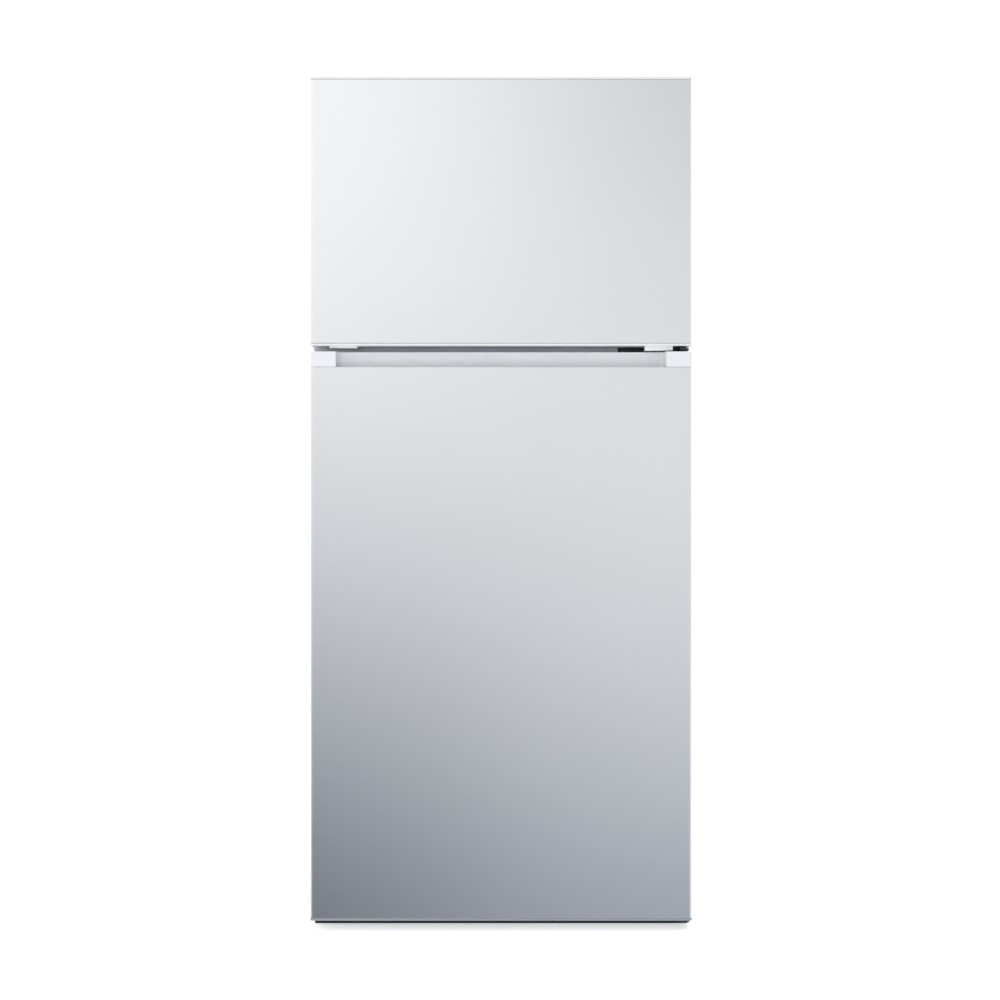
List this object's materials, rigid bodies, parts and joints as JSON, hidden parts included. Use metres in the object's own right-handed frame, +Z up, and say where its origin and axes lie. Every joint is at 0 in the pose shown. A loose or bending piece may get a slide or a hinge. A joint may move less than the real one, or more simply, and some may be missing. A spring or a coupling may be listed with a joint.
{
  "type": "top freezer refrigerator",
  "caption": "Free-standing two-door top freezer refrigerator with satin steel doors, a recessed pocket grip and right-hand hinges.",
  "frame": {"origin": "on the floor, at the middle of the overall box", "axes": "+Z up; the doors face -Y; +X is the hinge side"},
  "size_m": [0.75, 0.74, 1.684],
  "materials": {
    "satin_steel": "satin",
    "painted_steel": "satin",
    "galvanised_steel": "satin",
    "black_steel": "satin",
    "cap_plastic": "satin",
    "grey_cap_plastic": "satin",
    "liner_plastic": "satin",
    "black_plastic": "matte",
    "clear_plastic": "gloss",
    "shelf_glass": "polished",
    "insulation_foam": "matte",
    "seal_rubber": "matte",
    "black_rubber": "matte",
    "evaporator_aluminium": "satin",
    "drier_copper": "satin"
  },
  "bodies": {
    "cabinet": {"air_duct_cover": "liner_plastic", "bottom_hinge": "black_steel", "bottom_plate": "galvanised_steel", "cabinet_shell": "painted_steel", "compressor": "black_steel", "compressor_base": "galvanised_steel", "control_housing": "liner_plastic", "crisper_cover_frame": "liner_plastic", "crisper_cover_glass": "shelf_glass", "door_switch_housing": "liner_plastic", "drain_pan": "black_plastic", "evaporator": "evaporator_aluminium", "evaporator_cover": "liner_plastic", "filter_drier": "drier_copper", "foam_insulation": "insulation_foam", "freezer_liner": "liner_plastic", "freezer_shelf": "shelf_glass", "fresh_food_liner": "liner_plastic", "kick_plate": "black_plastic", "lamp_lens": "clear_plastic", "mid_hinge": "black_steel", "mullion_rail": "painted_steel", "rear_cover": "galvanised_steel", "rear_panel": "galvanised_steel", "rear_spacer_left": "black_plastic", "rear_spacer_right": "black_plastic", "shelf_frame_1": "liner_plastic", "shelf_frame_2": "liner_plastic", "shelf_glass_1": "shelf_glass", "shelf_glass_2": "shelf_glass", "supply_gland": "black_rubber", "top_hinge": "galvanised_steel", "top_hinge_cover": "cap_plastic"},
    "freezer_door": {"freezer_door_skin": "satin_steel", "freezer_door_top_cap": "cap_plastic", "freezer_door_bottom_cap": "cap_plastic", "freezer_door_foam": "insulation_foam", "freezer_door_liner": "liner_plastic", "freezer_door_gasket": "seal_rubber"},
    "fridge_door": {"fridge_door_skin": "satin_steel", "fridge_door_top_cap": "cap_plastic", "fridge_door_bottom_cap": "grey_cap_plastic", "fridge_door_foam": "insulation_foam", "fridge_door_liner": "liner_plastic", "fridge_door_gasket": "seal_rubber"},
    "freezer_door_bin_1_body": {"freezer_door_bin_1": "clear_plastic"},
    "freezer_door_bin_2_body": {"freezer_door_bin_2": "clear_plastic"},
    "fridge_door_bin_1_body": {"fridge_door_bin_1": "clear_plastic"},
    "fridge_door_bin_2_body": {"fridge_door_bin_2": "clear_plastic"},
    "fridge_door_bin_3_body": {"fridge_door_bin_3": "clear_plastic"},
    "crisper_drawer_left_body": {"crisper_drawer_left": "clear_plastic"},
    "crisper_drawer_right_body": {"crisper_drawer_right": "clear_plastic"},
    "temperature_knob_body": {"temperature_knob": "cap_plastic"},
    "airflow_slider_body": {"airflow_slider": "cap_plastic"},
    "door_switch_plunger_body": {"door_switch_plunger": "cap_plastic"},
    "evaporator_fan_body": {"evaporator_fan": "black_plastic"},
    "front_foot_left_body": {"front_foot_left": "black_plastic"},
    "front_foot_right_body": {"front_foot_right": "black_plastic"},
    "rear_roller_left_body": {"rear_roller_left": "black_plastic"},
    "rear_roller_right_body": {"rear_roller_right": "black_plastic"}
  },
  "joints": [
    {"name": "freezer_door_hinge", "type": "hinge", "parent": "cabinet", "child": "freezer_door", "pos_m": [0.362, -0.345, 1.4], "axis": [0, 0, 1], "range_deg": [0, 120]},
    {"name": "fridge_door_hinge", "type": "hinge", "parent": "cabinet", "child": "fridge_door", "pos_m": [0.362, -0.345, 0.58], "axis": [0, 0, 1], "range_deg": [0, 120]},
    {"name": "freezer_door_bin_1_lift", "type": "slide", "parent": "freezer_door", "child": "freezer_door_bin_1_body", "axis": [0, 0, 1], "range_m": [0, 0.035]},
    {"name": "freezer_door_bin_2_lift", "type": "slide", "parent": "freezer_door", "child": "freezer_door_bin_2_body", "axis": [0, 0, 1], "range_m": [0, 0.035]},
    {"name": "fridge_door_bin_1_lift", "type": "slide", "parent": "fridge_door", "child": "fridge_door_bin_1_body", "axis": [0, 0, 1], "range_m": [0, 0.035]},
    {"name": "fridge_door_bin_2_lift", "type": "slide", "parent": "fridge_door", "child": "fridge_door_bin_2_body", "axis": [0, 0, 1], "range_m": [0, 0.035]},
    {"name": "fridge_door_bin_3_lift", "type": "slide", "parent": "fridge_door", "child": "fridge_door_bin_3_body", "axis": [0, 0, 1], "range_m": [0, 0.035]},
    {"name": "crisper_drawer_left_slide", "type": "slide", "parent": "cabinet", "child": "crisper_drawer_left_body", "axis": [0, -1, 0], "range_m": [0, 0.13]},
    {"name": "crisper_drawer_right_slide", "type": "slide", "parent": "cabinet", "child": "crisper_drawer_right_body", "axis": [0, -1, 0], "range_m": [0, 0.13]},
    {"name": "temperature_knob_turn", "type": "hinge", "parent": "cabinet", "child": "temperature_knob_body", "pos_m": [0.088, -0.12, 1.099], "axis": [0, 1, 0], "range_deg": [0, 270]},
    {"name": "airflow_slider_slide", "type": "slide", "parent": "cabinet", "child": "airflow_slider_body", "axis": [1, 0, 0], "range_m": [-0.014, 0.014]},
    {"name": "door_switch_plunger_slide", "type": "slide", "parent": "cabinet", "child": "door_switch_plunger_body", "axis": [0, -1, 0], "range_m": [0, 0.008]},
    {"name": "evaporator_fan_turn", "type": "hinge", "parent": "cabinet", "child": "evaporator_fan_body", "pos_m": [0, 0.283, 1.5], "axis": [0, 1, 0], "continuous": true},
    {"name": "front_foot_left_turn", "type": "hinge", "parent": "cabinet", "child": "front_foot_left_body", "pos_m": [-0.33, -0.255, 0.02], "axis": [0, 0, 1], "continuous": true},
    {"name": "front_foot_right_turn", "type": "hinge", "parent": "cabinet", "child": "front_foot_right_body", "pos_m": [0.33, -0.255, 0.02], "axis": [0, 0, 1], "continuous": true},
    {"name": "rear_roller_left_turn", "type": "hinge", "parent": "cabinet", "child": "rear_roller_left_body", "pos_m": [-0.346, 0.3, 0.018], "axis": [1, 0, 0], "continuous": true},
    {"name": "rear_roller_right_turn", "type": "hinge", "parent": "cabinet", "child": "rear_roller_right_body", "pos_m": [0.346, 0.3, 0.018], "axis": [1, 0, 0], "continuous": true}
  ],
  "couplings": [
    {"joint": "door_switch_plunger_slide", "follows": "fridge_door_hinge", "m_per_rad": 0.00381}
  ]
}
